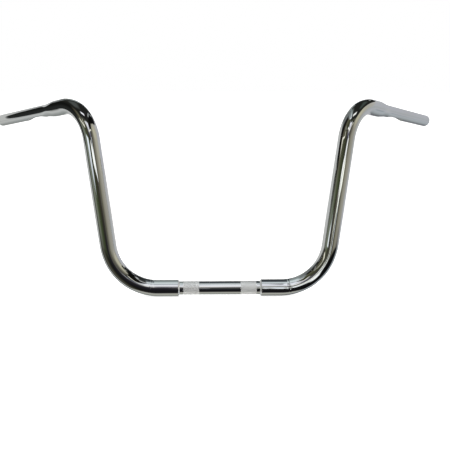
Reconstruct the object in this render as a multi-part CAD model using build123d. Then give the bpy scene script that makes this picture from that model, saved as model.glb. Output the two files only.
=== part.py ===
from build123d import *
import math
import os

# Handlebar: chrome "fat" ape-hanger bar for a motorcycle, without its risers and controls.
# Frame: origin at the middle of the clamp tube, on its axis. +X towards the rider's left grip,
# +Y towards the rider (the way the grips are pulled back), +Z up. Millimetres and degrees.
# The left side is built, and the right side is its mirror image.

# ---- tube sizes ----
CLAMP_R = 25.4 / 2       # 1 in clamp tube
FAT_R = 31.75 / 2        # 1-1/4 in main tube
GRIP_R = CLAMP_R
WALL = 3.05              # 0.120 in
FAT_BORE_R = FAT_R - WALL            # slides over the clamp tube with 0.125 to spare
CLAMP_BORE_R = CLAMP_R - WALL
GRIP_BORE_R = GRIP_R - WALL

# ---- clamp area, x from the middle of the bar ----
STEP_X = 79.5            # end face of the fat tube
INSERT_END_X = 118.0     # the clamp tube runs on inside the fat tube to here
KNURL_IN_X = 40.0
KNURL_OUT_X = 70.0
KNURL_RAISE = 0.20       # crests of the knurl above the plain tube
KNURL_BEVEL = 0.3        # length of the slope at each end of the knurled band
TUBE_END_CHAMFER = 0.6
INSERT_CHAMFER = 1.0

# ---- path of one side ----
BEND1_START_X = 120.0    # straight until here
BEND1_R = 95.0
LEAN = 8.4               # the upright leans outwards
UPRIGHT_LEN = 208.0
BEND2_R = 76.0
SWEEP = 42.5             # the grip points this far back from straight out
DROOP = 1.7              # the grip falls towards its end

# ---- grip tube, distances along it from the end of the second bend ----
NECK_START = 27.0        # straight fat tube before the neck
NECK_END = NECK_START + 38.0         # swaged neck, 1-1/4 in down to 1 in
GRIP_END = NECK_END + 184.0          # 1 in grip tube
NECK_TANGENT = 0.55      # how far the neck's curve holds the tube's direction at each end
SWAGE_THICKENING = 0.25  # extra wall from the neck to past the dimple
THICK_END = 140.5
THICK_RUNOUT = 2.0       # length over which the extra wall runs out
GRIP_END_CHAMFER = 0.8

# ---- switch-wiring dimple, on the underside of the grip tube ----
DIMPLE_AT = 102.5        # middle of the dimple
DIMPLE_HALF = 20.0       # half the length of its straight bottom
DIMPLE_DEPTH = 4.8
DIMPLE_TOOL_R = 30.0     # radius of the forming tool and of its round ends
DIMPLE_TURN = 16.0       # from straight down, towards the rider

# ---- welds ----
STEP_WELD_LEG_X = 2.6    # fillet weld in the corner of the step, along the clamp tube
STEP_WELD_LEG_R = 2.3    # ... and up the face of the fat tube
STEP_WELD_HOLLOW = 0.40  # mid-arc, as a share of each leg from the corner: 0.5 would be flat
PLUG_R = 4.0             # rosette welds through the wall of the fat tube, ground flush
PLUG_X = (90.5, 107.5)

# ---- how far tools run past the metal ----
CHAMFER_PAST = 1.0
TOOL_PAST = 5.0


# ---- points and directions along the left side ----
def sin_deg(angle):
    return math.sin(math.radians(angle))


def cos_deg(angle):
    return math.cos(math.radians(angle))


UPRIGHT_DIR = Vector(sin_deg(LEAN), 0, cos_deg(LEAN))
GRIP_DIR = Vector(
    cos_deg(DROOP) * cos_deg(SWEEP),
    cos_deg(DROOP) * sin_deg(SWEEP),
    -sin_deg(DROOP),
)

BEND1_TURN = 90.0 - LEAN
BEND1_START = Vector(BEND1_START_X, 0, 0)
BEND1_CENTRE = Vector(BEND1_START_X, 0, BEND1_R)
BEND1_END = Vector(
    BEND1_START_X + BEND1_R * sin_deg(BEND1_TURN),
    0,
    BEND1_R * (1 - cos_deg(BEND1_TURN)),
)

BEND2_TURN = math.degrees(math.acos(UPRIGHT_DIR.dot(GRIP_DIR)))
BEND2_NORMAL = UPRIGHT_DIR.cross(GRIP_DIR).normalized()
BEND2_START = BEND1_END + UPRIGHT_DIR * UPRIGHT_LEN
BEND2_CENTRE = BEND2_START + BEND2_NORMAL.cross(UPRIGHT_DIR) * BEND2_R
BEND2_ARM = BEND2_START - BEND2_CENTRE
# the arm turned about the bend's normal reaches the end of the bend
BEND2_END = (
    BEND2_CENTRE
    + BEND2_ARM * cos_deg(BEND2_TURN)
    + BEND2_NORMAL.cross(BEND2_ARM) * sin_deg(BEND2_TURN)
)

# directions across the grip tube: downwards, and to the middle of the dimple
DOWN = (Vector(0, 0, -1) - GRIP_DIR * Vector(0, 0, -1).dot(GRIP_DIR)).normalized()
DIMPLE_DIR = DOWN * cos_deg(DIMPLE_TURN) + GRIP_DIR.cross(DOWN) * sin_deg(DIMPLE_TURN)


# ---- shared shapes ----
def fat_section(point, direction):
    """Ring-shaped section of the fat tube, standing across it."""
    return Plane(origin=point, z_dir=direction) * (Circle(FAT_R) - Circle(FAT_BORE_R))


def grip_plane(across):
    """Plane through the grip axis: local x runs out along across, local y along the grip."""
    return Plane(origin=BEND2_END, x_dir=across, z_dir=across.cross(GRIP_DIR))


def turn_about_grip(outline):
    """Turn a (radius, distance along) outline about the grip axis."""
    return revolve(grip_plane(DOWN) * make_face(outline), axis=Axis(BEND2_END, GRIP_DIR))


def turn_about_bar(points):
    """Turn (x, radius) points about the bar's middle axis."""
    return revolve(Plane.XY * make_face(Polyline(*points, close=True)), axis=Axis.X)


def plug_rod(x):
    """Rod from the bar's axis out through the rider's side of the fat tube."""
    face = Plane(origin=(x, 0, 0), z_dir=(0, 1, 0)) * Circle(PLUG_R)
    return extrude(face, amount=FAT_R + TOOL_PAST)


# ---- main tube ----
def tube_straight():
    """Straight end that slides over the clamp tube, with holes for the rosette welds."""
    length = BEND1_START_X - STEP_X
    straight = extrude(fat_section(Vector(STEP_X, 0, 0), Vector(1, 0, 0)), amount=length)
    reach = TUBE_END_CHAMFER + CHAMFER_PAST
    straight -= turn_about_bar([
        (STEP_X - CHAMFER_PAST, FAT_R - reach),
        (STEP_X + reach, FAT_R + CHAMFER_PAST),
        (STEP_X - CHAMFER_PAST, FAT_R + CHAMFER_PAST),
    ])
    for x in PLUG_X:
        straight -= plug_rod(x)
    return straight


def grip_body(fat_r, neck_r, end_r, end):
    """Turned solid: fat straight, swaged neck, grip. It steps from neck_r to end_r if they differ."""
    neck_from = (fat_r, NECK_START)
    neck_to = (neck_r, NECK_END)
    neck = Spline(
        [neck_from, neck_to],
        tangents=[(0, 1), (0, 1)],
        tangent_scalars=[NECK_TANGENT, NECK_TANGENT],
    )
    side = [neck_to]
    if end_r != neck_r:
        side += [(neck_r, THICK_END), (end_r, THICK_END + THICK_RUNOUT)]
    side.append((end_r, end))
    return turn_about_grip(
        Line((0, 0), (fat_r, 0))
        + Line((fat_r, 0), neck_from)
        + neck
        + [Line(start, stop) for start, stop in zip(side, side[1:])]
        + Line(side[-1], (0, end))
        + Line((0, end), (0, 0))
    )


def dimple_tool(grow=0.0):
    """Round-ended roller that presses the dimple; grow gives the dent inside the wall."""
    radius = DIMPLE_TOOL_R + grow
    axis_r = GRIP_R + DIMPLE_TOOL_R - DIMPLE_DEPTH
    start, stop = DIMPLE_AT - DIMPLE_HALF, DIMPLE_AT + DIMPLE_HALF
    diagonal = radius * math.sqrt(0.5)
    near = axis_r - radius
    outline = (
        ThreePointArc(
            (axis_r, start - radius), (axis_r - diagonal, start - diagonal), (near, start)
        )
        + Line((near, start), (near, stop))
        + ThreePointArc(
            (near, stop), (axis_r - diagonal, stop + diagonal), (axis_r, stop + radius)
        )
        + Line((axis_r, stop + radius), (axis_r, start - radius))
    )
    axis = Axis(BEND2_END + DIMPLE_DIR * axis_r, GRIP_DIR)
    return revolve(grip_plane(DIMPLE_DIR) * make_face(outline), axis=axis)


def grip_tube():
    """Fat straight, neck and dimpled grip, hollow, with both corners of its end chamfered."""
    outside = grip_body(FAT_R, GRIP_R, GRIP_R, GRIP_END) - dimple_tool()
    neck_bore_r = GRIP_BORE_R - SWAGE_THICKENING
    inside = grip_body(FAT_BORE_R, neck_bore_r, GRIP_BORE_R, GRIP_END + TOOL_PAST)
    inside -= dimple_tool(grow=WALL)
    tube = outside - inside

    low = GRIP_END - GRIP_END_CHAMFER - CHAMFER_PAST
    high = GRIP_END + CHAMFER_PAST
    outer_r, outer_edge = GRIP_R + CHAMFER_PAST, GRIP_R - GRIP_END_CHAMFER
    inner_r, inner_edge = GRIP_BORE_R - CHAMFER_PAST, GRIP_BORE_R + GRIP_END_CHAMFER
    for corner in (
        [(outer_edge, GRIP_END), (outer_r, low), (outer_r, high), (outer_edge, high)],
        [(inner_r, high), (inner_r, low), (inner_edge, GRIP_END), (inner_edge, high)],
    ):
        tube -= turn_about_grip(Polyline(*corner, close=True))
    return tube


def main_tube():
    bend1 = revolve(
        fat_section(BEND1_START, Vector(1, 0, 0)),
        axis=Axis(BEND1_CENTRE, Vector(0, -1, 0)),
        revolution_arc=BEND1_TURN,
    )
    upright = extrude(fat_section(BEND1_END, UPRIGHT_DIR), amount=UPRIGHT_LEN)
    bend2 = revolve(
        fat_section(BEND2_START, UPRIGHT_DIR),
        axis=Axis(BEND2_CENTRE, BEND2_NORMAL),
        revolution_arc=BEND2_TURN,
    )
    return tube_straight() + bend1 + upright + bend2 + grip_tube()


# ---- clamp tube ----
def clamp_tube():
    """Tube across both sides, with the knurled bands as raised lands."""
    knurl_r = CLAMP_R + KNURL_RAISE
    left_half = [  # (x, radius), outwards from the middle
        (0, CLAMP_R),
        (KNURL_IN_X, CLAMP_R),
        (KNURL_IN_X + KNURL_BEVEL, knurl_r),
        (KNURL_OUT_X - KNURL_BEVEL, knurl_r),
        (KNURL_OUT_X, CLAMP_R),
        (INSERT_END_X - INSERT_CHAMFER, CLAMP_R),
        (INSERT_END_X, CLAMP_R - INSERT_CHAMFER),
        (INSERT_END_X, CLAMP_BORE_R),
    ]
    right_half = [(-x, radius) for x, radius in reversed(left_half[1:])]
    return turn_about_bar(right_half + left_half)


# ---- welds ----
def step_weld():
    """Hollow-faced fillet weld in the corner between clamp tube and fat tube."""
    corner = (STEP_X, CLAMP_R)
    toe = (STEP_X - STEP_WELD_LEG_X, CLAMP_R)
    top = (STEP_X, CLAMP_R + STEP_WELD_LEG_R)
    middle = (
        STEP_X - STEP_WELD_HOLLOW * STEP_WELD_LEG_X,
        CLAMP_R + STEP_WELD_HOLLOW * STEP_WELD_LEG_R,
    )
    outline = ThreePointArc(toe, middle, top) + Line(top, corner) + Line(corner, toe)
    return revolve(make_face(outline), axis=Axis.X)


def plug_welds():
    """Rosette welds: fill the holes in the fat tube down to the clamp tube."""
    sleeve_end = INSERT_END_X + TOOL_PAST
    sleeve = turn_about_bar(
        [(STEP_X, CLAMP_R), (sleeve_end, CLAMP_R), (sleeve_end, FAT_R), (STEP_X, FAT_R)]
    )
    plugs = [plug_rod(x) & sleeve for x in PLUG_X]
    return Compound(children=[solid for plug in plugs for solid in plug.solids()])


# ---- write one STEP per piece ----
def save(name, shape):
    solids = shape.solids()
    piece = solids[0] if len(solids) == 1 else Compound(children=list(solids))
    piece.label = name
    export_step(piece, "parts/" + name + ".step")


os.makedirs("parts", exist_ok=True)
save("clamp_tube", clamp_tube())
for build in (main_tube, step_weld, plug_welds):
    left = build()
    right = mirror(left, about=Plane.YZ)
    save("left_" + build.__name__, left)
    save("right_" + build.__name__, right)
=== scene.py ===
"""Chrome ape-hanger handlebar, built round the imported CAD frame.

The clamp tube lies along X, centred on the origin. +Z is up, the front is -Y, and the grips sweep
back towards +Y. The left side is at +X and the right side mirrors it. Mesh code works in
millimetres, and MM turns them into metres. Lights, flags and camera are in metres.
"""

import math

import bpy
import numpy as np
from mathutils import Matrix, Vector


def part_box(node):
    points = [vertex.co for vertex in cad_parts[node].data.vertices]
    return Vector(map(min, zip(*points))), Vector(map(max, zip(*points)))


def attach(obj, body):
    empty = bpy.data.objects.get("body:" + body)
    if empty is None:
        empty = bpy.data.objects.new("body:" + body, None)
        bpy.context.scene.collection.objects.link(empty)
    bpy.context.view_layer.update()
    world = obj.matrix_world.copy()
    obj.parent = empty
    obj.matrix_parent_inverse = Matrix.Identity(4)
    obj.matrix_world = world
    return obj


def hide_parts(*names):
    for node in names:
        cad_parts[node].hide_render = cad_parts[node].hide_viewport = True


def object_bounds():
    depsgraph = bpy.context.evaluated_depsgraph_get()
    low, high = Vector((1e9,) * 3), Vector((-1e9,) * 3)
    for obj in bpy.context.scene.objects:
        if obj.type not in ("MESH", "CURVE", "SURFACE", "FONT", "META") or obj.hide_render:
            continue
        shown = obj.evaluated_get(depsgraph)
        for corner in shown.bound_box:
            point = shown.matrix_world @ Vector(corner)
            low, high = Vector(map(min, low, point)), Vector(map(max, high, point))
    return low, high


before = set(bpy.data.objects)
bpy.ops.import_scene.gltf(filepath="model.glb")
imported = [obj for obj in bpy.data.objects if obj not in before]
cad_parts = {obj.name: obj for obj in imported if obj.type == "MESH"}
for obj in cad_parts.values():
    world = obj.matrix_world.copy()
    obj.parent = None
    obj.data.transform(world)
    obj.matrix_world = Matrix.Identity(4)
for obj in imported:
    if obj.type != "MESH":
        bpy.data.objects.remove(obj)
cad_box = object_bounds()
MM = 0.001
FULL_TURN = 2 * math.pi


# ---------------------------------------------------------------- sizes
def box_mm(node):
    """Low and high corners of a CAD node, in millimetres."""
    low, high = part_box(node)
    return np.array(low) / MM, np.array(high) / MM


tube_low, _ = box_mm("left_main_tube")
_, clamp_high = box_mm("clamp_tube")
weld_low, weld_high = box_mm("left_step_weld")
plug_low, plug_high = box_mm("left_plug_welds")

# tubes
STEP_X = float(tube_low[0])  # face of the fat tube
FAT_R = -float(tube_low[2])
THIN_R = 12.7  # clamp tube and grips
WALL = 3.05
FAT_BORE_R = FAT_R - WALL
THIN_BORE_R = THIN_R - WALL
INSERT_END_X = float(clamp_high[0])  # the clamp tube runs on inside the fat tubes

# knurled bands on the clamp tube
KNURL_CREST_R = float(clamp_high[2])
KNURL_IN_X, KNURL_OUT_X = 40.0, 70.0
KNURL_TEETH = 54
KNURL_PITCH_X = 2.5
KNURL_DEPTH = 0.34
KNURL_SAMPLES = 6  # mesh steps to a tooth, both ways

# the left side's path: straight, bend, upright, bend, grip
BEND1_START_X, BEND1_R = 120.0, 95.0
LEAN = math.radians(8.4)  # of the upright, outwards
UPRIGHT_LEN = 208.0
BEND2_R = 76.0
SWEEP, DROOP = math.radians(42.5), math.radians(1.7)  # of the grip, back and down
FAT_AFTER_BEND, NECK_LEN, GRIP_LEN = 27.0, 38.0, 184.0
END_D = FAT_AFTER_BEND + NECK_LEN + GRIP_LEN  # D lengths start at the end of the second bend
THICK_TO, THICKENING = 140.5, 0.25  # thicker wall of the grip, up to this D

# wiring dimple under the grip
DIMPLE_AT, DIMPLE_HALF, DIMPLE_TOOL_R, DIMPLE_DEPTH = 102.5, 20.0, 30.0, 4.8
DIMPLE_TURN = math.radians(16.0)  # from straight down, towards the back

# how bending changes the round section, as radius
BEND_FLATTEN, BEND_WIDEN, BEND_OUTER_FLAT = 0.22, 0.20, 0.50

# ridge left by the bender's clamp, with a groove on each side: (length along, width, height)
MARK_S = 54.0
BENDER_MARK = ((MARK_S, 1.1, 0.17), (MARK_S - 2.6, 1.0, -0.11), (MARK_S + 2.4, 1.1, -0.10))
# faint rings at the ends of the swaged neck: (D, width, height)
DIE_RINGS = (
    (FAT_AFTER_BEND + 1.0, 1.3, -0.05),
    (FAT_AFTER_BEND + NECK_LEN - 1.0, 1.6, 0.035),
)

# shallow waves from polishing
WAVE_COUNT = 16
WAVE_LENGTHS = (26, 95)
WAVE_HEIGHT, WAVE_HEIGHT_AT = 0.010, 60  # height of a wave of this length


def rotated(vector, axis, angle):
    """A vector turned about a unit axis (Rodrigues)."""
    vector, axis = np.asarray(vector, float), np.asarray(axis, float)
    cos, sin = math.cos(angle), math.sin(angle)
    return vector * cos + np.cross(axis, vector) * sin + axis * np.dot(axis, vector) * (1 - cos)


def unit(vector):
    return np.asarray(vector, float) / np.linalg.norm(vector)


X_AXIS = np.array([1.0, 0.0, 0.0])
UPRIGHT = np.array([math.sin(LEAN), 0.0, math.cos(LEAN)])
GRIP = np.array([
    math.cos(DROOP) * math.cos(SWEEP),
    math.cos(DROOP) * math.sin(SWEEP),
    -math.sin(DROOP),
])
TURN1 = math.pi / 2 - LEAN
AXIS1 = np.array([0.0, -1.0, 0.0])
BEND1_START = np.array([BEND1_START_X, 0.0, 0.0])
BEND1_CENTRE = BEND1_START + np.array([0.0, 0.0, BEND1_R])
BEND1_END = BEND1_CENTRE + rotated(BEND1_START - BEND1_CENTRE, AXIS1, TURN1)
BEND2_START = BEND1_END + UPRIGHT * UPRIGHT_LEN
TURN2 = math.acos(float(UPRIGHT @ GRIP))
AXIS2 = unit(np.cross(UPRIGHT, GRIP))
INWARD2 = np.cross(AXIS2, UPRIGHT)
BEND2_CENTRE = BEND2_START + INWARD2 * BEND2_R
BEND2_END = BEND2_CENTRE + rotated(BEND2_START - BEND2_CENTRE, AXIS2, TURN2)

# lengths along the path, from the face of the fat tube
S_BEND1 = BEND1_START_X - STEP_X
S_UPRIGHT = S_BEND1 + BEND1_R * TURN1
S_BEND2 = S_UPRIGHT + UPRIGHT_LEN
S_GRIP = S_BEND2 + BEND2_R * TURN2
S_END = S_GRIP + END_D

# section axes: top is +Z and front is -Y on the straight part, and the bends carry them round
TOP, FRONT = np.array([0.0, 0.0, 1.0]), np.array([0.0, -1.0, 0.0])
UPRIGHT_TOP = rotated(TOP, AXIS1, TURN1)
GRIP_TOP, GRIP_FRONT = rotated(UPRIGHT_TOP, AXIS2, TURN2), rotated(FRONT, AXIS2, TURN2)

# section angles run from top to front
INSIDE2 = math.atan2(float(INWARD2 @ FRONT), float(INWARD2 @ UPRIGHT_TOP))
GRIP_DOWN = unit(np.array([0.0, 0.0, -1.0]) - GRIP * (-GRIP[2]))
DENT = GRIP_DOWN * math.cos(DIMPLE_TURN) + np.cross(GRIP, GRIP_DOWN) * math.sin(DIMPLE_TURN)
DENT_PHI = math.atan2(float(DENT @ GRIP_FRONT), float(DENT @ GRIP_TOP))


def path_at(s):
    """Centre, top and front axes at a length along the left side's path."""
    if s <= S_BEND1:
        return np.array([STEP_X + s, 0.0, 0.0]), TOP, FRONT
    if s <= S_UPRIGHT:
        angle = (s - S_BEND1) / BEND1_R
        arm = rotated(BEND1_START - BEND1_CENTRE, AXIS1, angle)
        return BEND1_CENTRE + arm, rotated(TOP, AXIS1, angle), FRONT
    if s <= S_BEND2:
        return BEND1_END + UPRIGHT * (s - S_UPRIGHT), UPRIGHT_TOP, FRONT
    if s <= S_GRIP:
        angle = (s - S_BEND2) / BEND2_R
        arm = rotated(BEND2_START - BEND2_CENTRE, AXIS2, angle)
        top, front = rotated(UPRIGHT_TOP, AXIS2, angle), rotated(FRONT, AXIS2, angle)
        return BEND2_CENTRE + arm, top, front
    return BEND2_END + GRIP * (s - S_GRIP), GRIP_TOP, GRIP_FRONT


# ---------------------------------------------------------------- mesh helpers
def ramp(value, start, end):
    """0 at start, 1 at end, smooth between."""
    share = np.clip((value - start) / (end - start), 0.0, 1.0)
    return share * share * (3 - 2 * share)


def bumps_at(value, bumps):
    """Summed height of (centre, width, height) bumps."""
    return sum(height * np.exp(-(((value - mid) / width) ** 2)) for mid, width, height in bumps)


def spaced(stops):
    """Lengths along a path, from (start, spacing) stops and a last (end, None)."""
    out = []
    for (start, step), (end, _) in zip(stops, stops[1:]):
        count = max(1, int(math.ceil((end - start) / step - 1e-9)))
        out += [start + (end - start) * i / count for i in range(count)]
    out.append(stops[-1][0])
    return out


def ring_angles(segments):
    return np.arange(segments) * 2 * math.pi / segments


def add_object(name, data):
    ob = bpy.data.objects.new(name, data)
    bpy.context.scene.collection.objects.link(ob)
    return ob


def mesh_object(name, points, faces, smooth=True):
    mesh = bpy.data.meshes.new(name)
    mesh.from_pydata(points, [], faces)
    if smooth:
        mesh.polygons.foreach_set("use_smooth", [True] * len(mesh.polygons))
    mesh.update()
    return add_object(name, mesh)


def chrome_mesh(name, points, faces, straight, marks, mirror):
    """A piece from points in mm. straight holds each point's place as if the tube were unbent."""
    points = points * MM
    if mirror:
        points = points * np.array([-1.0, 1.0, 1.0])
        faces = [face[::-1] for face in faces]
    ob = mesh_object(name, points.tolist(), [list(map(int, face)) for face in faces])
    mesh = ob.data
    vectors = mesh.attributes.new("straight", "FLOAT_VECTOR", "POINT")
    flat = np.ascontiguousarray(straight * MM, np.float32).reshape(-1)
    vectors.data.foreach_set("vector", flat)
    for key, values in marks.items():
        attribute = mesh.attributes.new(key, "FLOAT", "POINT")
        attribute.data.foreach_set("value", np.ascontiguousarray(values, np.float32).reshape(-1))
    mesh.validate()
    return ob


class Rings:
    """A closed surface of rings, each joined to the next and the last to the first."""

    def __init__(self, segments):
        self.phi = ring_angles(segments)
        self.points, self.straight = [], []
        self.marks = {"bare": [], "worn": [], "knurl": []}

    def add(self, along, radius, bare=0.0, worn=0.0, knurl=0.0, axes=None):
        """One ring, round the X axis unless axes gives its centre, top and front."""
        along, radius, *levels = (
            np.broadcast_to(np.asarray(value, float), self.phi.shape)
            for value in (along, radius, bare, worn, knurl)
        )
        cos, sin = np.cos(self.phi), np.sin(self.phi)
        centre, top, front = axes or (np.outer(along, X_AXIS), TOP, FRONT)
        spokes = cos[:, None] * top + sin[:, None] * front
        self.points.append(centre + radius[:, None] * spokes)
        self.straight.append(np.stack([along, radius * cos, radius * sin], -1))
        for values, level in zip(self.marks.values(), levels):
            values.append(level)

    def build(self, name, mirror=False):
        count, segments = len(self.points), len(self.phi)
        i, j = np.arange(count)[:, None], np.arange(segments)[None, :]
        this_ring, next_ring = i * segments, ((i + 1) % count) * segments
        after = (j + 1) % segments
        corners = [this_ring + j, this_ring + after, next_ring + after, next_ring + j]
        faces = np.stack(corners, -1).reshape(-1, 4)
        points = np.array(self.points).reshape(-1, 3)
        straight = np.array(self.straight).reshape(-1, 3)
        return chrome_mesh(name, points, faces, straight, self.marks, mirror)


# ---------------------------------------------------------------- main tubes
def neck(grip_d, fat, thin):
    """Radius along the swaged neck, between the fat and the thin part."""
    return fat + (thin - fat) * ramp(grip_d, FAT_AFTER_BEND, FAT_AFTER_BEND + NECK_LEN)


def bend_shape(s, phi):
    """Change of radius in the bends: flatter in their plane, most of all on the outside."""
    out = np.zeros_like(phi)
    # (start, end, angle of the inside, strength)
    bends = ((S_BEND1, S_UPRIGHT, 0.0, 1.0), (S_BEND2, S_GRIP, INSIDE2, 1.15))
    for start, end, inside, strength in bends:
        fade = float(ramp(s, start - 4, start + 22) * (1 - ramp(s, end - 22, end + 6)))
        cos = np.cos(phi - inside)
        outer = np.clip(-cos, 0, 1) ** 2.5
        shape = -BEND_FLATTEN * cos * cos + BEND_WIDEN * (1 - cos * cos) - BEND_OUTER_FLAT * outer
        out += fade * strength * shape
    return out


def hand_waves(s, phi, seed):
    """Long, shallow waves left by polishing."""
    rng = np.random.default_rng(seed)
    out = np.zeros_like(phi)
    for _ in range(WAVE_COUNT):
        length = rng.uniform(*WAVE_LENGTHS)
        around = int(rng.integers(0, 4))
        phase_along, phase_round = rng.uniform(0, FULL_TURN, 2)
        height = WAVE_HEIGHT * (length / WAVE_HEIGHT_AT) ** 1.3
        along = math.sin(FULL_TURN * s / length + phase_along)
        out += height * along * np.cos(around * phi + phase_round)
    return out


def dimple(radius, grip_d, phi, grow, soft):
    """Presses the dimple into a section. grow widens the tool and soft rounds the edge."""
    past = max(abs(grip_d - DIMPLE_AT) - DIMPLE_HALF, 0.0)
    tool_r = math.sqrt(max((DIMPLE_TOOL_R + grow) ** 2 - past**2, 0.0))
    if tool_r <= 0:
        return radius
    tool_axis = THIN_R + DIMPLE_TOOL_R - DIMPLE_DEPTH
    turn = phi - DENT_PHI
    reach = tool_r * tool_r - (tool_axis * np.sin(turn)) ** 2  # below 0 where a ray misses it
    facing = np.cos(turn) > 0
    middle = tool_axis * np.cos(turn)
    cut = np.where(
        (reach > 0) & facing,
        middle - np.sqrt(np.clip(reach, 0, None)),
        np.where(facing, middle + 0.6 * np.sqrt(np.clip(-reach, 0, None)), 99.0),
    )
    keep = np.clip(0.5 + 0.5 * (cut - radius) / soft, 0, 1)
    return cut * (1 - keep) + radius * keep - soft * keep * (1 - keep)


def outer_radius(s, phi, seed, mark):
    grip_d = s - S_GRIP
    radius = neck(grip_d, FAT_R, THIN_R) + bend_shape(s, phi)
    # the waves die out towards both ends
    calm = float(ramp(s, 1.0, 14.0) * (1 - ramp(grip_d, END_D - 14, END_D - 2)))
    radius = radius + hand_waves(s, phi, seed) * calm
    radius = radius + bumps_at(s, BENDER_MARK) * mark * (0.75 + 0.25 * np.cos(phi - 0.9))
    radius = radius + bumps_at(grip_d, DIE_RINGS)
    return dimple(radius, grip_d, phi, grow=0.0, soft=1.3)


def inner_radius(s, phi):
    grip_d = s - S_GRIP
    radius = neck(grip_d, FAT_BORE_R, THIN_BORE_R - THICKENING)
    radius = radius + THICKENING * float(ramp(grip_d, THICK_TO, THICK_TO + 2.0))
    radius = radius + bend_shape(s, phi) * 0.9
    return dimple(radius, grip_d, phi, grow=WALL, soft=1.0)


def main_tube(name, mirror, seed, mark):
    """One side's bent tube; mark is the strength of the bender's mark."""
    rings = Rings(144)
    step_round, lip = 0.6, 0.8  # corner radii at the step and at the open end

    def add(s, radius, bare, worn=0.0):
        rings.add(s, radius, bare, worn, axes=path_at(s))

    # the cut face at the step, from the bore out to a rounded corner
    add(0.0, FAT_BORE_R + 0.02, 0.5)
    for share in (0.1, 0.5, 0.9):
        add(0.0, FAT_BORE_R + (FAT_R - step_round - FAT_BORE_R) * share, 0.0)
    for k in range(7):
        angle = math.pi / 2 * k / 6
        radius = FAT_R - step_round + step_round * math.sin(angle)
        add(step_round * (1 - math.cos(angle)), radius, 0.0, 1.0 - abs(k - 3) / 4)
    # the outside, as (start, spacing)
    outside = spaced([
        (step_round + 0.2, 0.7),
        (4, 1.8),
        (MARK_S - 7, 0.7),
        (MARK_S + 7, 1.6),
        (S_UPRIGHT + 10, 2.6),
        (S_BEND2 - 10, 1.55),
        (S_GRIP + 10, 1.6),
        (S_GRIP + FAT_AFTER_BEND - 4, 1.05),
        (S_GRIP + DIMPLE_AT + 38, 2.4),
        (S_END - 6, 1.0),
        (S_END - 0.9, None),
    ])
    for s in outside:
        add(s, outer_radius(s, rings.phi, seed, mark), 0.0)
    # rolled lip of the open end
    for k in range(1, 7):
        angle = math.pi / 2 * k / 6
        radius = THIN_R - lip + lip * math.cos(angle)
        add(S_END - lip + lip * math.sin(angle), radius, 0.0, 1.0 - abs(k - 3) / 4)
    add(S_END, (THIN_R + THIN_BORE_R) / 2, 0.0, 0.3)
    for k in range(7):
        angle = math.pi / 2 * k / 6
        radius = THIN_BORE_R + lip - lip * math.sin(angle)
        add(S_END - lip + lip * math.cos(angle), radius, k / 12, 0.5)
    # the bore, walked back to the step
    bore = spaced([
        (0.05, 0.6),
        (1.0, 5.0),
        (S_BEND1, 3.4),
        (S_UPRIGHT, 8.0),
        (S_BEND2, 3.2),
        (S_GRIP, 4.0),
        (S_GRIP + FAT_AFTER_BEND, 2.2),
        (S_GRIP + DIMPLE_AT + 38, 5.0),
        (S_END - 5, 1.2),
        (S_END - 1.0, None),
    ])
    for s in bore[::-1]:
        depth = (S_END - s) / 22.0
        add(s, inner_radius(s, rings.phi), min(1.0, 0.5 + 0.5 * depth))
    return rings.build(name, mirror)


# ---------------------------------------------------------------- clamp tube
def triangle_wave(turns):
    turns = turns - np.floor(turns)
    return 1 - np.abs(2 * turns - 1)


def clamp_wave(x, phi):
    """Shallow waves along the clamp tube."""
    return (
        0.010 * math.sin(FULL_TURN * x / 47 + 0.4) * np.cos(phi + 0.3)
        + 0.008 * math.sin(FULL_TURN * x / 29 + 2.0) * np.cos(2 * phi + 1.2)
        + 0.006 * math.sin(FULL_TURN * x / 19 + 1.0)
    )


def clamp_surface(x, phi):
    """Radius and knurl mark; the mark is about a half on the crests and 1 in the valleys, so the
    knurl valleys come out darker in colour, as painted shade.
    """
    out_x = abs(x)
    radius = THIN_R + clamp_wave(x, phi) * float(1 - ramp(out_x, 100, 116))
    band = float(
        ramp(out_x, KNURL_IN_X - 0.35, KNURL_IN_X + 0.55)
        * (1 - ramp(out_x, KNURL_OUT_X - 0.55, KNURL_OUT_X + 0.35))
    )
    teeth_round = phi * KNURL_TEETH / (2 * math.pi)
    teeth_along = (out_x - KNURL_IN_X) / KNURL_PITCH_X
    height = np.minimum(
        triangle_wave(teeth_round + teeth_along), triangle_wave(teeth_round - teeth_along)
    )
    # slightly crushed crests, no two quite the same height
    crushed = 0.86 + 0.05 * np.sin(phi * 5 + out_x) + 0.04 * np.sin(phi * 13 + out_x * 0.7)
    height = np.minimum(height * 1.12, crushed)
    radius = radius + band * (KNURL_CREST_R - THIN_R - KNURL_DEPTH * (1 - height / 0.93))
    return radius, band * (1.0 - 0.55 * height)


def clamp_tube(name):
    rings = Rings(KNURL_TEETH * KNURL_SAMPLES)
    half = spaced([
        (0.0, 4.0),
        (KNURL_IN_X - 0.6, KNURL_PITCH_X / KNURL_SAMPLES),
        (KNURL_OUT_X + 0.6, 1.2),
        (STEP_X + 2, 6.0),
        (INSERT_END_X - 1.0, None),
    ])
    rings.add(-INSERT_END_X, THIN_R - 1.0, bare=1.0)
    for x in [-x for x in half[:0:-1]] + half:
        radius, knurl = clamp_surface(x, rings.phi)
        bare = float(ramp(abs(x), STEP_X + 1, STEP_X + 8))
        rings.add(x, radius, bare=bare, knurl=knurl)
    # the +X end, the bore and the -X end
    bore = spaced([(-INSERT_END_X + 1.4, 15.0), (INSERT_END_X - 1.4, None)])
    for x, radius in [
        (INSERT_END_X, THIN_R - 1.0),
        (INSERT_END_X, THIN_BORE_R + 0.4),
        (INSERT_END_X - 0.4, THIN_BORE_R),
        *((x, THIN_BORE_R) for x in bore[::-1]),
        (-INSERT_END_X + 0.4, THIN_BORE_R),
        (-INSERT_END_X, THIN_BORE_R + 0.4),
    ]:
        rings.add(x, radius, bare=1.0)
    return rings.build(name)


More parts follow.
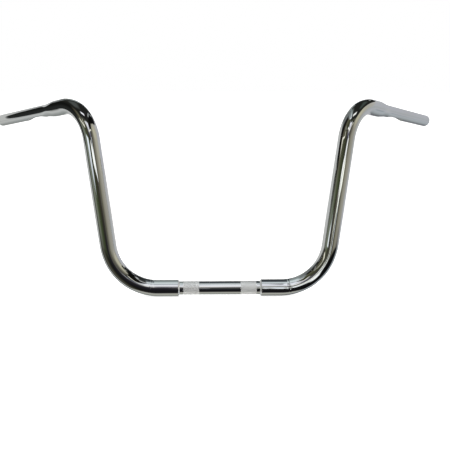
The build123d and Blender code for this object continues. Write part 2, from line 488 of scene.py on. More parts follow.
# ---------------------------------------------------------------- welds
def step_weld(name, mirror, seed):
    """Fillet bead between the clamp tube and the face of the fat tube."""
    rings = Rings(240)
    phi = rings.phi
    leg_x, leg_r = STEP_X - float(weld_low[0]), float(weld_high[2]) - THIN_R
    phases = np.random.default_rng(seed).uniform(0, FULL_TURN, 8)
    # the toes wander a little, and the face has overlapping ripples
    toe_x = 0.10 * np.sin(3 * phi + phases[0]) + 0.07 * np.sin(7 * phi + phases[1]) - 0.12
    toe_r = 0.07 * np.sin(4 * phi + phases[2]) + 0.05 * np.sin(9 * phi + phases[3]) - 0.08
    warp = phi + 0.02 * np.sin(2 * phi + phases[4])
    ripple_count = 46
    rows = 11
    profile = []
    for k in range(rows):
        share = k / (rows - 1)
        x = STEP_X - (leg_x + toe_x) * (1 - share)
        radius = THIN_R + (leg_r + toe_r) * share
        sag = 0.22 * math.sin(math.pi * share)  # slightly hollow between the toes
        arcs = np.abs(np.sin(warp * ripple_count / 2 - 1.6 * (share - 0.5) ** 2)) - 0.6
        ripple = 0.045 * math.sin(math.pi * share) * arcs
        profile.append((x + 0.7 * (sag - ripple), radius - 0.7 * (sag - ripple)))
    profile += [
        (STEP_X + 0.02, THIN_R + (leg_r + toe_r) * 0.6),
        (STEP_X + 0.02, THIN_R - 0.02),
        (STEP_X - leg_x * 0.5, THIN_R - 0.02),
    ]
    for x, radius in profile:
        rings.add(x, radius, worn=0.25, knurl=0.12)
    return rings.build(name, mirror)


def plug_welds(name, mirror, seed):
    """Two rosette welds at the back: almost flush domes with a faint sunk rim."""
    plug_r = (float(plug_high[2]) - float(plug_low[2])) / 2
    dome_rows, dome_height = 12, 0.16
    root_y = THIN_R + 0.05
    angles = ring_angles(64)
    segments = len(angles)
    points, faces = [], []
    rng = np.random.default_rng(seed)
    for middle_x in (float(plug_low[0]) + plug_r, float(plug_high[0]) - plug_r):
        base = len(points)
        phase = rng.uniform(0, FULL_TURN, 4)[0]
        points.append((middle_x, FAT_R + dome_height, 0.0))
        for row in range(1, dome_rows + 1):
            share = row / dome_rows
            radius = plug_r * 1.04 * share
            rim = 0.10 * math.exp(-(((share - 0.88) / 0.07) ** 2)) + 0.05 * float(share > 0.96)
            dome = dome_height * (1 - share**2) - rim
            dome = dome + 0.012 * np.sin(3 * angles + phase + 5 * share) * share
            x, z = middle_x + radius * np.cos(angles), radius * np.sin(angles)
            points += zip(x, np.sqrt(FAT_R**2 - z * z) + dome, z)
        # the root, on the thin tube
        x, z = middle_x + plug_r * np.cos(angles), plug_r * np.sin(angles)
        points += zip(x, np.sqrt(root_y**2 - z * z), z)
        for j in range(segments):
            k = (j + 1) % segments
            faces.append((base, base + 1 + k, base + 1 + j))
            for row in range(dome_rows):
                this_row = base + 1 + row * segments
                next_row = this_row + segments
                faces.append((this_row + j, this_row + k, next_row + k, next_row + j))
        last = len(points)
        points.append((middle_x, root_y, 0.0))
        root = base + 1 + dome_rows * segments
        for j in range(segments):
            faces.append((last, root + j, root + (j + 1) % segments))
    points = np.array(points)
    count = len(points)
    marks = {"bare": np.zeros(count), "worn": np.full(count, 0.3), "knurl": np.full(count, 0.15)}
    return chrome_mesh(name, points, faces, points, marks, mirror)


# ---------------------------------------------------------------- node helpers
GAIN = 1 / 0.86  # the plating gives back about 86 % of what it sees


def shown(code, strength=1.0):
    """Linear RGB that the chrome gives back as this sRGB hex code."""
    out = []
    for i in (0, 2, 4):
        level = int(code[i : i + 2], 16) / 255
        linear = level / 12.92 if level <= 0.04045 else ((level + 0.055) / 1.055) ** 2.4
        out.append(linear * GAIN * strength)
    return out


def rgba(color):
    """RGBA from a hex code seen in the chrome, a grey level or linear RGB."""
    if isinstance(color, str):
        color = shown(color)
    elif isinstance(color, float):
        color = [color] * 3
    return [*color, 1.0]


class Net:
    """Adds nodes to an emptied tree, mostly returning their sockets."""

    def __init__(self, tree):
        self.tree = tree
        tree.nodes.clear()

    def node(self, kind, inputs=None, **props):
        """A shader node; inputs maps a socket's name or number to a value or a socket."""
        node = self.tree.nodes.new("ShaderNode" + kind)
        for key, value in props.items():
            setattr(node, key, value)
        for key, value in (inputs or {}).items():
            if isinstance(value, bpy.types.NodeSocket):
                self.tree.links.new(value, node.inputs[key])
            else:
                node.inputs[key].default_value = value
        return node

    def math(self, operation, *values):
        return self.node("Math", dict(enumerate(values)), operation=operation).outputs[0]

    def product(self, first, *rest):
        return self.math("MULTIPLY", first, self.product(*rest)) if rest else first

    def invert(self, value):
        return self.math("SUBTRACT", 1.0, value)

    def scale_add(self, value, times, plus):
        return self.math("MULTIPLY_ADD", value, times, plus)

    def vector(self, operation, first, second, output="Vector"):
        inputs = {0: first, 1: second}
        return self.node("VectorMath", inputs, operation=operation).outputs[output]

    def axes(self, vector):
        return self.node("SeparateXYZ", {0: vector}).outputs

    def geometry(self, output):
        return self.node("NewGeometry").outputs[output]

    def step(self, value, low, high):
        """0 below low, 1 above high, smooth between."""
        inputs = {"Value": value, "From Min": low, "From Max": high}
        props = {"interpolation_type": "SMOOTHSTEP", "clamp": True}
        return self.node("MapRange", inputs, **props).outputs[0]

    def above(self, value, edge, soft):
        return self.step(value, edge - soft / 2, edge + soft / 2)

    def below(self, value, edge, soft):
        return self.invert(self.above(value, edge, soft))

    def window(self, value, low, high, soft, soft_high=None):
        """1 between low and high, 0 outside, with soft edges."""
        soft_high = soft if soft_high is None else soft_high
        return self.product(self.above(value, low, soft), self.below(value, high, soft_high))

    def mix(self, cover, under, over):
        under, over = (
            color if isinstance(color, bpy.types.NodeSocket) else rgba(color)
            for color in (under, over)
        )
        inputs = {"Factor": cover, 6: under, 7: over}
        return self.node("Mix", inputs, data_type="RGBA").outputs[2]

    def mix_shader(self, cover, under, over):
        return self.node("MixShader", {0: cover, 1: under, 2: over}).outputs[0]

    def gradient(self, value, stops, low=None, high=None):
        """Colour ramp of (value, colour) stops, spanning the stops or low to high."""
        low = stops[0][0] if low is None else low
        high = stops[-1][0] if high is None else high
        inputs = {"Value": value, "From Min": low, "From Max": high}
        share = self.node("MapRange", inputs, clamp=True).outputs[0]
        node = self.node("ValToRGB", {0: share})
        elements = node.color_ramp.elements
        while len(elements) > 1:
            elements.remove(elements[-1])
        for i, (at, color) in enumerate(stops):
            place_at = (at - low) / (high - low)
            element = elements[0] if i == 0 else elements.new(place_at)
            element.position = place_at
            element.color = rgba(color)
        return node.outputs[0]

    def noise(self, vector, scale, detail, rough):
        inputs = {"Vector": vector, "Scale": scale, "Detail": detail, "Roughness": rough}
        return self.node("TexNoise", inputs).outputs["Fac"]

    def stretched_noise(self, vector, scales, detail, rough):
        vector = self.vector("MULTIPLY", vector, scales)
        return self.noise(vector, 1.0, detail, rough)


def new_material(name):
    material = bpy.data.materials.new(name)
    material.use_nodes = True
    return material, Net(material.node_tree)


# ---------------------------------------------------------------- chrome
def chrome(name, seed, tint=(0.86, 0.865, 0.87), rough=0.030, ripple=1.0, milky=0.0):
    """Bright chrome over polished steel, with bare steel where "bare" says so.

    seed moves the patterns, ripple scales the orange peel and milky takes away metallic.
    """
    material, net = new_material(name)
    straight = net.node("Attribute", attribute_name="straight").outputs["Vector"]
    place_at = net.vector("ADD", straight, (seed, seed * 0.37, seed * 0.61))
    bare, knurl, worn = (
        net.node("Attribute", attribute_name=key).outputs["Fac"]
        for key in ("bare", "knurl", "worn")
    )
    on_knurl = net.math("MINIMUM", net.product(knurl, 3.0), 1.0)

    # hand marks, haze drawn out along the tube, hairlines round it and along it, orange peel
    smudge = net.noise(place_at, scale=34.0, detail=4.0, rough=0.6)
    haze = net.stretched_noise(place_at, (60.0, 260.0, 260.0), detail=3.0, rough=0.55)
    hairs = net.stretched_noise(place_at, (3200.0, 90.0, 90.0), detail=2.0, rough=0.5)
    long_hairs = net.stretched_noise(place_at, (40.0, 5200.0, 5200.0), detail=2.0, rough=0.5)
    peel = net.noise(place_at, scale=210.0, detail=2.0, rough=0.5)
    drift = net.noise(place_at, scale=9.0, detail=2.0, rough=0.5)
    grime = net.noise(place_at, scale=120.0, detail=5.0, rough=0.65)

    # colour: cool to warm drift, smudges, paler wear, a paler knurl with painted shade in its
    # valleys, dull steel inside
    warm = (tint[0] * 0.985, tint[1] * 0.975, tint[2] * 0.955)
    plate = net.mix(net.step(drift, low=0.35, high=0.65), tint, warm)
    smudged = net.product(net.step(smudge, low=0.52, high=0.80), 0.10)
    plate = net.mix(smudged, plate, (0.74, 0.74, 0.73))
    plate = net.mix(net.product(worn, 0.10), plate, (0.93, 0.93, 0.92))
    # pale satin knurl finish, paler on the crests; the darker valleys are painted shade
    knurl_pale_and_valley_shade = net.product(on_knurl, net.scale_add(knurl, times=-0.75, plus=1.25))
    plate = net.mix(knurl_pale_and_valley_shade, plate, (0.95, 0.95, 0.94))
    grimy = net.step(grime, low=0.42, high=0.62)
    steel = net.mix(grimy, (0.17, 0.165, 0.16), (0.26, 0.22, 0.18))

    # roughness: each term adds its share
    for cover, amount in (
        (net.step(smudge, low=0.45, high=0.78), 0.030),
        (net.step(haze, low=0.40, high=0.75), 0.018),
        (on_knurl, 0.22),
        (bare, 0.40),
        (net.product(bare, grime), 0.22),
    ):
        rough = net.scale_add(cover, times=amount, plus=rough)

    # relief, in units of the bump distance
    height = net.product(net.math("SUBTRACT", hairs, 0.5), 0.07)
    height = net.scale_add(net.math("SUBTRACT", long_hairs, 0.5), times=0.09, plus=height)
    height = net.scale_add(net.math("SUBTRACT", peel, 0.5), times=0.6 * ripple, plus=height)
    height = net.scale_add(net.product(bare, grime), times=40.0, plus=height)
    bump = net.node("Bump", {"Strength": 1.0, "Distance": 0.0000035, "Height": height})

    shader = net.node("BsdfPrincipled", {
        "Base Color": net.mix(bare, plate, steel),
        "Metallic": net.math("SUBTRACT", 1.0 - milky, net.product(on_knurl, 0.33)),
        "Roughness": rough,
        "Normal": bump.outputs[0],
    })
    net.node("OutputMaterial", {"Surface": shader.outputs[0]})
    return material


CHROME_LEFT = chrome("chrome_tube_left", seed=0.0)
CHROME_RIGHT = chrome("chrome_tube_right", seed=3.1)
CHROME_CLAMP = chrome("chrome_clamp", seed=1.7, rough=0.034)
CHROME_WELD = chrome(
    "chrome_weld", seed=2.3, tint=(0.90, 0.905, 0.91), rough=0.12, ripple=4.0, milky=0.25
)


# ---------------------------------------------------------------- pieces
def place(ob, material, node):
    ob.data.materials.append(material)
    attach(ob, "root")
    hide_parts(node)


place(clamp_tube("clamp_tube_knurled"), CHROME_CLAMP, "clamp_tube")
# (side, mirrored, material, seed, strength of the bender's mark)
for side, mirror, material, seed, mark in (
    ("left", False, CHROME_LEFT, 11, 1.0),
    ("right", True, CHROME_RIGHT, 23, 0.45),
):
    tube = main_tube(f"{side}_tube_formed", mirror, seed, mark)
    place(tube, material, f"{side}_main_tube")
# (maker, object, CAD node, seeds of the left and right)
for make, label, node, seeds in (
    (step_weld, "step_bead", "step_weld", (5, 6)),
    (plug_welds, "rosettes", "plug_welds", (7, 8)),
):
    for side, mirror, seed in zip(("left", "right"), (False, True), seeds):
        weld = make(f"{side}_{label}", mirror, seed)
        place(weld, CHROME_WELD, f"{side}_{node}")


# ---------------------------------------------------------------- floor
def floor_material():
    material, net = new_material("floor_pale")
    speck = net.noise(net.geometry("Position"), scale=7.0, detail=4.0, rough=0.6)
    speckled = net.step(speck, low=0.3, high=0.7)
    color = net.mix(speckled, (0.90, 0.90, 0.90), (0.93, 0.93, 0.925))
    diffuse = net.node("BsdfDiffuse", {"Color": color})
    glow = net.node("Emission", {"Color": (1, 1, 1, 1), "Strength": 0.80})
    lit = net.node("AddShader", {0: diffuse.outputs[0], 1: glow.outputs[0]})
    clear = net.node("BsdfTransparent")  # from underneath, the floor is clear
    shader = net.mix_shader(net.geometry("Backfacing"), lit.outputs[0], clear.outputs[0])
    net.node("OutputMaterial", {"Surface": shader})
    return material


def floor_piece():
    """A wide pale floor that curves up far behind the bar."""
    floor_z = Vector(cad_box[0]).z - 0.0004
    half_width, curve_y, curve_r = 6, 5, 1.5
    xs = np.linspace(-half_width, half_width, 25)
    profile = [(y, floor_z) for y in np.linspace(-half_width, curve_y, 23)]
    profile += [
        (curve_y + curve_r * math.sin(angle), floor_z + curve_r * (1 - math.cos(angle)))
        for angle in np.linspace(0.1, math.pi / 2, 10)
    ]
    points = [(x, y, z) for y, z in profile for x in xs]
    row = len(xs)
    faces = [
        (i * row + j, i * row + j + 1, (i + 1) * row + j + 1, (i + 1) * row + j)
        for i in range(len(profile) - 1)
        for j in range(row - 1)
    ]
    ob = mesh_object("floor", points, faces)
    ob.data.materials.append(floor_material())
    ob.visible_glossy = False
    ob.visible_shadow = False


floor_piece()

# ---------------------------------------------------------------- studio seen in the chrome
# Colour stops are (angle in degrees, hex code). Angles round the horizon are 0 at the front
# and positive towards +X.
ROOM = [
    (-180, "50544f"), (-165, "3c403e"), (-150, "6a6e6c"), (-122, "6c7072"), (-112, "363836"),
    (-102, "0f100f"), (-84, "12120e"), (-76, "35332a"), (-62, "5b594a"), (-40, "3f4230"),
    (-22, "3c3d2e"), (0, "2a2928"), (16, "191914"), (32, "10100c"), (70, "0b0b08"),
    (110, "0e0f0f"), (150, "141618"), (180, "50544f"),
]
CEILING = [
    (-180, "3c4642"), (-150, "6c7472"), (-109, "787f7f"), (-60, "8a9292"), (-20, "9aa2a2"),
    (0, "a2a8aa"), (16, "5c5e5e"), (40, "42423f"), (90, "383a3a"), (120, "24282a"),
    (180, "3c4642"),
]
# height of the +X wall's top edge, in hundreds of degrees
WALL_EDGE = [
    (0, 0.10), (15, 0.17), (30, 0.29), (45, 0.40), (60, 0.455), (90, 0.43), (106, 0.38),
    (130, 0.31), (180, 0.27),
]
SIDE_WALL = [
    (0, "2a2922"), (12, "38372e"), (22, "4c4a40"), (34, "67645a"), (46, "7e7c70"),
    (58, "928f82"), (70, "a2a094"), (90, "a4a298"), (112, "acaba7"), (132, "b6b5b5"),
    (180, "bcbcbe"),
]
# dark in front and at -X, the pale wall behind
LEVEL = [
    (-180, "bababa"), (-158, "b8bab8"), (-127, "a9ada9"), (-108, "96999a"), (-101, "34373a"),
    (-93, "353936"), (-84, "565a50"), (-70, "6e7468"), (-58, "6c7264"), (-50, "4e5642"),
    (-40, "444c36"), (-28, "353c28"), (-14, "303424"), (0, "24251c"), (13, "2c2c22"),
    (20, "4a4a3e"), (26, "5e5c4e"), (38, "7e7c6e"), (52, "8e8c80"), (68, "929087"),
    (83, "98978f"), (99, "a2a3a3"), (108, "a3a8ac"), (120, "acaeae"), (132, "b2b4b4"),
    (148, "b8b7b7"), (180, "bababa"),
]
UNDER_LEVEL = [
    (-180, "8c908e"), (-157, "7c817f"), (-143, "8e9290"), (-130, "9c9f9e"), (-118, "b0b3b2"),
    (-109, "b2b4b3"), (-104, "8c8e8c"), (-100, "343634"), (-90, "40423a"), (-66, "4c4c42"),
    (-46, "2e2d26"), (-24, "141412"), (0, "17171a"), (40, "0a0a0b"), (80, "0c0e0f"),
    (92, "2c302f"), (104, "80888c"), (112, "a3a9ae"), (121, "a0a6aa"), (131, "949a9d"),
    (142, "7b8083"), (153, "66696c"), (165, "606264"), (180, "8c908e"),
]
# by height over the light's lower edge
FRONT_LIGHT = [
    (0, "35343c"), (5, "3c3b44"), (11, "605f69"), (16, "706f78"), (22, "a0a1a9"),
    (28, "c4c6ce"), (34, "e2e4ec"), (44, "eceef4"), (50, "d0d4dc"), (56, "d8dce4"),
    (64, "d0d4dc"),
]
# by angle over the top: 0 at the front, 90 overhead, negative below
FLOOR = [
    (-180, "a8aaa4"), (-139, "a1a39b"), (-104, "92948c"), (-84, "a9aaa3"), (-72, "8e8e8a"),
    (-66, "5c5b58"), (0, "5c5b58"),
]
LAMP_ROW = [
    (50, "d0d4dc"), (57, "d4d8e0"), (61, "a6adb4"), (66, "a0a8ac"), (72, "c4cccf"),
    (78, "d0dadc"), (88, "c8d2d4"), (94, "b0bbbc"), (103, "98a3a3"), (113, "7e8887"),
    (139, "858b8b"), (160, "8a8e8c"), (180, "a8aaa4"),
]
BEAM = [
    (80, "60636a"), (102, "5a6064"), (113, "4c5054"), (122, "26292c"), (140, "24282a"),
    (152, "5a6062"), (166, "7c8083"), (180, "a8aaa4"),
]
# strips between two directions, each (degrees round, degrees up):
# (from, to, half width, soft edge, colour, strength)
STRIPS = [
    # lamps and bright openings
    ((-43, 60), (6, 58), 2.0, 2.0, "f4f6fa", 1.0),
    ((43, 61.5), (-3, 60), 2.0, 2.0, "f4f6fa", 1.0),
    ((-20, 34.5), (8, 22), 2.2, 2.0, "f6f6f0", 1.0),
    ((28, 31), (0, 22), 1.8, 2.0, "f4f3e2", 1.0),
    ((-41, 17), (-66, 15), 2.2, 2.0, "ecebdc", 1.0),
    ((-38, 19), (-41, 29), 2.2, 2.6, "d8d6c8", 0.9),
    ((-60, 41), (-44, 35), 2.4, 2.4, "86867f", 0.9),
    ((100, 64), (142, 40), 2.0, 2.0, "b4b8b8", 1.0),
    ((62, 63), (100, 61), 2.0, 2.0, "a4a6a4", 1.0),
    ((-51, 1.0), (-33, 0.6), 2.7, 2.8, "e4ecf0", 1.0),
    ((-50, -2.6), (-37, -2.4), 1.8, 2.2, "ccd2da", 1.0),
    ((-9, 3.4), (14, 5.0), 1.9, 1.5, "f6f8f4", 1.1),
    ((20, 0.8), (3, 0.4), 1.7, 1.4, "fafcee", 1.1),
    ((3, 0.4), (-8, -2.6), 1.3, 1.4, "f2f6e6", 1.0),
    ((9.5, 10), (10, -7), 2.0, 2.0, "dee4ea", 1.0),
    ((10, -7), (28, -25), 2.2, 2.0, "f2f6f6", 1.0),
    ((-4.6, -6.2), (-4.4, -6.2), 0.8, 0.8, "d0cfcc", 1.0),
    # darker gaps, seen as lines along the horizontal tubes
    ((-8, 61), (-2.5, 61), 2.2, 4.0, "7e868e", 0.75),
    ((6.5, 20.5), (13, 20.5), 2.2, 4.5, "565e66", 0.85),
    ((17, 67), (26, 66), 2.2, 4.0, "7e8688", 0.7),
]


def aim(around, height):
    """Unit vector from degrees round the horizon and degrees above it."""
    around, height = math.radians(around), math.radians(height)
    flat = math.cos(height)
    return Vector((math.sin(around) * flat, -math.cos(around) * flat, math.sin(height)))


class Studio(Net):
    """World colour by direction, built up in layers. Angles are in degrees."""

    def __init__(self, tree):
        super().__init__(tree)
        self.direction = self.node("TexCoord").outputs["Generated"]
        self.x, y, z = self.axes(self.direction)
        front = self.product(y, -1.0)
        self.around = self.degrees(self.math("ARCTAN2", self.x, front))
        self.height = self.degrees(self.math("ARCSINE", z))
        self.over_top = self.degrees(self.math("ARCTAN2", z, front))
        self.color = self.gradient(self.around, ROOM)

    def degrees(self, radians):
        return self.product(radians, 180 / math.pi)

    def lay(self, cover, color):
        self.color = self.mix(cover, self.color, color)

    def off_axis(self, around, height):
        """Degrees between the ray and a direction."""
        cos = self.vector("DOT_PRODUCT", self.direction, aim(around, height), "Value")
        return self.degrees(self.math("ARCCOSINE", cos))

    def ceiling_and_wall(self):
        ceiling = self.gradient(self.around, CEILING)
        self.lay(self.above(self.height, edge=61, soft=8), ceiling)
        # the wall at +X and behind, whose top edge climbs away from the front corner
        edge = self.product(self.gradient(self.around, WALL_EDGE), 100.0)
        wall = self.gradient(self.around, SIDE_WALL)
        gap = self.math("SUBTRACT", edge, self.height)
        on_wall = self.product(
            self.step(gap, low=-1.5, high=1.5), self.above(self.around, edge=8, soft=8)
        )
        warm = self.product(
            self.window(self.height, low=14, high=40, soft=10, soft_high=8),
            self.window(self.around, low=48, high=84, soft=16, soft_high=24),
        )
        self.lay(on_wall, self.mix(self.product(warm, 0.8), wall, "b4b19a"))

    def level_and_floor(self):
        height = self.height
        self.lay(self.below(height, edge=9, soft=7), self.gradient(self.around, LEVEL))
        self.lay(self.below(height, edge=-12, soft=6), self.gradient(self.around, UNDER_LEVEL))
        self.lay(self.below(height, edge=-64, soft=9), self.gradient(self.over_top, FLOOR))

    def front_light(self):
        """The tall soft light over the front; its lower edge shifts with the angle round."""
        shift = self.scale_add(self.step(self.around, low=-4, high=2), times=-9.0, plus=9.0)
        shift = self.scale_add(self.step(self.around, low=5, high=9), times=6.0, plus=shift)
        fade = self.invert(self.step(self.height, low=36, high=50))
        over_edge = self.math("SUBTRACT", self.height, self.product(shift, fade))
        cover = self.product(
            self.window(self.around, low=-13, high=14, soft=6, soft_high=5),
            self.above(self.height, edge=8, soft=7),
            self.below(self.height, edge=61, soft=3),
        )
        self.lay(cover, self.gradient(over_edge, FRONT_LIGHT))

    def overhead(self):
        """The lamp row overhead, the ceiling behind it and a dark beam across it."""

        def row_width():
            return self.window(self.x, low=-0.27, high=0.19, soft=0.12, soft_high=0.07)

        row = self.product(row_width(), self.above(self.height, edge=60, soft=3))
        behind = self.product(
            row_width(),
            self.above(self.over_top, edge=100, soft=8),
            self.above(self.height, edge=12, soft=14),
        )
        color = self.gradient(self.over_top, LAMP_ROW)
        self.lay(self.math("MAXIMUM", row, behind), color)
        beam = self.product(
            self.window(self.x, low=-0.012, high=0.21, soft=0.02, soft_high=0.05),
            self.above(self.over_top, edge=87, soft=5),
            self.above(self.height, edge=16, soft=10),
        )
        self.lay(beam, self.gradient(self.over_top, BEAM))

    def backdrops(self):
        """The pale backdrop each grip points at, with dark room beside the one at -X."""
        height = self.height
        off_minus_x = self.off_axis(-132.5, -1.7)
        cover = self.product(
            self.below(off_minus_x, edge=35.0, soft=3.0),
            self.below(height, edge=30, soft=6),
            self.above(height, edge=-14, soft=8),
        )
        self.lay(cover, "b4b6b5")
        cover = self.product(
            self.below(self.off_axis(132.5, -1.7), edge=34.0, soft=3.0),
            self.below(height, edge=29, soft=6),
            self.above(height, edge=-14, soft=8),
            self.invert(self.window(height, low=-5, high=8, soft=4, soft_high=5)),
        )
        self.lay(cover, "a9abb0")
        dark = self.product(
            self.window(height, low=9, high=34, soft=6, soft_high=8),
            self.window(self.around, low=-112, high=-80, soft=6, soft_high=8),
        )
        beside = self.above(off_minus_x, edge=32.0, soft=2.0)
        self.lay(self.product(dark, beside), "0c0d0c")

    def strip(self, start, end, half, soft, color, strength):
        """A lit or dark strip from one direction to another."""
        start, end = aim(*start), aim(*end)
        span = end - start
        offset = self.vector("SUBTRACT", self.direction, start)
        share = self.vector("DOT_PRODUCT", offset, span / span.length_squared, "Value")
        share = self.math("MINIMUM", self.math("MAXIMUM", share, 0.0), 1.0)
        along = self.node("VectorMath", {0: span, "Scale": share}, operation="SCALE")
        rest = self.vector("SUBTRACT", offset, along.outputs[0])
        length = self.node("VectorMath", {0: rest}, operation="LENGTH").outputs["Value"]
        cover = self.below(self.degrees(length), half, soft)
        self.lay(cover, shown(color, strength))

    def background(self, color, strength):
        return self.node("Background", {"Color": color, "Strength": strength}).outputs[0]


def studio():
    """The chrome sees the studio, diffuse surfaces a soft grey and the camera plain white."""
    world = bpy.data.worlds.new("studio")
    bpy.context.scene.world = world
    world.use_nodes = True
    net = Studio(world.node_tree)
    net.ceiling_and_wall()
    net.level_and_floor()
    net.front_light()
    net.overhead()
    net.backdrops()
    for strip in STRIPS:
        net.strip(*strip)
    seen = net.background(net.color, strength=1.0)
    soft = net.background((0.9, 0.9, 0.9, 1), strength=0.35)
    white = net.background((1, 1, 1, 1), strength=1.0)
    path = net.node("LightPath")
    shader = net.mix_shader(path.outputs["Is Diffuse Ray"], seen, soft)
    shader = net.mix_shader(path.outputs["Is Camera Ray"], shader, white)
    net.node("OutputWorld", {"Surface": shader})


studio()


# ---------------------------------------------------------------- flags
def flag_material(name, corner, along, up, paint, soft):
    material, net = new_material(name)
    position = net.geometry("Position")
    offset = net.vector("SUBTRACT", position, corner)
    along_share, up_share = (
        net.vector("DOT_PRODUCT", offset, axis / axis.length_squared, "Value")
        for axis in (along, up)
    )
    color, cover = paint(net, along_share, position)
    inside = net.product(
        net.window(along_share, low=soft, high=1 - soft, soft=soft),
        net.window(up_share, low=soft, high=1 - soft, soft=soft),
    )
    glow = net.node("Emission", {"Color": color})
    clear = net.node("BsdfTransparent")
    shader = net.mix_shader(net.product(inside, cover), clear.outputs[0], glow.outputs[0])
    net.node("OutputMaterial", {"Surface": shader})
    return material


def flag(name, corner, along, up, paint, soft):
    """A dark sheet seen only in reflections.

    paint(net, share along, position) gives its colour and cover; soft is the width of its
    soft edges, as a share of the sheet.
    """
    corner, along, up = Vector(corner), Vector(along), Vector(up)
    normal = along.cross(up).normalized()
    columns, rows = 12, 10
    ripple = 0.003
    points, faces = [], []
    for j in range(rows + 1):
        for i in range(columns + 1):
            lift = normal * (ripple * math.sin(1.7 * i) * math.cos(1.3 * j))
            points.append(tuple(corner + along * (i / columns) + up * (j / rows) + lift))
    for j in range(rows):
        for i in range(columns):
            k = j * (columns + 1) + i
            faces.append((k, k + columns + 1, k + columns + 2, k + 1))
    ob = mesh_object(name, points, faces, smooth=False)
    ob.data.materials.append(flag_material(name, corner, along, up, paint, soft))
    ob.visible_camera = False
    ob.visible_diffuse = False
    ob.visible_shadow = False
    ob.visible_transmission = False


def over_bend(gaps):
    """Paint for a flag over a top bend: near black, with soft lighter gaps."""

    def paint(net, _, position):
        x, y, _ = net.axes(position)
        color = net.mix(net.noise(position, scale=9.0, detail=3.0, rough=0.5), "121311", "2a2b28")
        for gap_x, gap_y, half_x, half_y, soft, gap_color in gaps:
            cover = net.product(
                net.window(x, gap_x - half_x, gap_x + half_x, soft),
                net.window(y, gap_y - half_y, gap_y + half_y, soft),
            )
            color = net.mix(cover, color, gap_color)
        # seen by the bend below, not at a low angle from the far side of the bar
        _, _, slope = net.axes(net.geometry("Incoming"))
        return color, net.step(net.math("ABSOLUTE", slope), low=0.34, high=0.39)

    return paint


# the -X flag's back edge leans back as it goes up: (z, y)
BESIDE_EDGE = [
    (0.255, 0.04), (0.268, 0.10), (0.278, 0.145), (0.29, 0.172), (0.31, 0.192), (0.33, 0.205),
    (0.368, 0.213), (0.394, 0.228), (0.42, 0.240), (0.455, 0.250), (0.60, 0.275), (0.78, 0.30),
]


def beside_grip(net, _, position):
    """Paint for the flag beyond the -X grip."""
    _, y, z = net.axes(position)
    edge = net.gradient(z, BESIDE_EDGE, low=0.25, high=0.80)
    behind = net.step(net.math("SUBTRACT", y, edge), low=-0.006, high=0.006)
    color = net.mix(net.step(z, low=0.34, high=0.50), "232524", "121312")
    return color, net.invert(behind)


def low_front(net, along_share, position):
    """Paint for the low front flag: olive at its top for the upright, which looks at it level,
    and lavender for the horizontal tubes, which look up at it."""
    _, _, slope = net.axes(net.geometry("Incoming"))
    steep = net.step(net.product(slope, -1.0), low=0.10, high=0.16)
    x, _, z = net.axes(position)
    level_cover = net.invert(net.step(z, low=0.248, high=0.272))
    steep_cover = net.invert(net.step(z, low=0.085, high=0.25))
    cover = net.math(
        "ADD", net.product(level_cover, net.invert(steep)), net.product(steep_cover, steep)
    )
    outer_top = net.mix(steep, "35332a", "3a3842")
    inner_top = net.mix(steep, "54524a", "5a5b66")
    outer = net.mix(net.step(z, low=-0.07, high=0.17), "1b1a20", outer_top)
    inner = net.mix(net.step(z, low=-0.26, high=0.20), "24262c", inner_top)
    color = net.mix(net.step(along_share, low=0.50, high=0.70), outer, inner)
    # one small bright patch in front of the middle
    spot = net.product(
        net.window(x, low=-0.040, high=-0.004, soft=0.014),
        net.window(z, low=-0.050, high=0.004, soft=0.020),
    )
    return net.mix(net.product(spot, 0.8), color, "b4b6bc"), cover


# gaps in the flags over the bends: (x, y, half x, half y, soft, colour)
MINUS_X_GAPS = [
    (-0.32, 0.02, 0.035, 0.045, 0.04, "464a48"),
    (-0.277, -0.070, 0.030, 0.012, 0.012, "f4f6fa"),
    (-0.178, 0.020, 0.008, 0.045, 0.010, "b4bab8"),
    (-0.30, -0.155, 0.20, 0.012, 0.02, "44463e"),
]
PLUS_X_GAPS = [
    (0.225, 0.030, 0.016, 0.035, 0.02, "585e5a"),
    (0.279, -0.068, 0.030, 0.014, 0.012, "f6f8f4"),
    (0.34, 0.02, 0.02, 0.05, 0.03, "3c4440"),
    (0.34, -0.155, 0.20, 0.012, 0.02, "4c5040"),
]
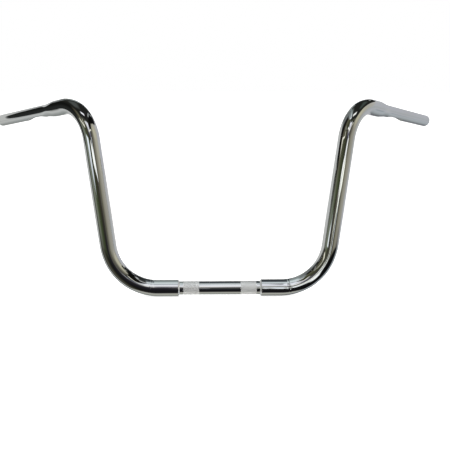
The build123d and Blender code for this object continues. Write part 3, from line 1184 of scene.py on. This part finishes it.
# (name, corner, along, up, paint, soft)
FLAGS = [
    ("flag_over_left", (-0.44, -0.185, 0.46), (0.275, 0, 0), (0, 0.305, 0),
     over_bend(MINUS_X_GAPS), 0.05),
    ("flag_over_right", (0.215, -0.185, 0.46), (0.225, 0, 0), (0, 0.305, 0),
     over_bend(PLUS_X_GAPS), 0.05),
    ("flag_beside_left", (-0.60, -0.04, 0.24), (0, 0.40, 0), (0, 0, 0.56), beside_grip, 0.02),
    ("flag_low_front", (-0.44, -0.80, -0.34), (0.56, 0, 0), (0, 0, 0.64), low_front, 0.025),
]
for entry in FLAGS:
    flag(*entry)


# ---------------------------------------------------------------- light and camera
def soft_light():
    """One wide soft light high in front, for the floor; the chrome doesn't see it."""
    data = bpy.data.lights.new("soft_overhead", "AREA")
    data.shape = "RECTANGLE"
    data.size, data.size_y = 3.0, 2.0
    data.energy = 60.0
    ob = add_object("soft_overhead", data)
    ob.location = (0.0, -0.6, 2.6)
    ob.rotation_euler = (math.radians(-12), 0, 0)
    ob.visible_glossy = False
    ob.visible_camera = False


CAMERA_PLACE = (-0.045838, -1.005903, 0.202943)
CAMERA_TURN = (-1.2855, -1.8892, -0.0947)  # yaw, pitch and roll in degrees, from facing +Y


def camera():
    data = bpy.data.cameras.new("camera")
    ob = add_object("camera", data)
    yaw, pitch, roll = (math.radians(angle) for angle in CAMERA_TURN)
    turn = Matrix.Rotation(yaw, 3, "Z") @ Matrix.Rotation(pitch, 3, "X")
    right, ahead, up = (turn @ Vector(axis) for axis in ((1, 0, 0), (0, 1, 0), (0, 0, 1)))
    basis = Matrix((right, up, -ahead)).transposed() @ Matrix.Rotation(roll, 3, "Z")
    ob.matrix_world = Matrix.Translation(CAMERA_PLACE) @ basis.to_4x4()
    data.sensor_width = 36.0
    data.lens = 41.91544
    data.shift_x, data.shift_y = 0.038833333, -0.055742222
    data.clip_start, data.clip_end = 0.05, 60
    bpy.context.scene.camera = ob


soft_light()
camera()
bpy.context.scene.view_settings.view_transform = "Standard"
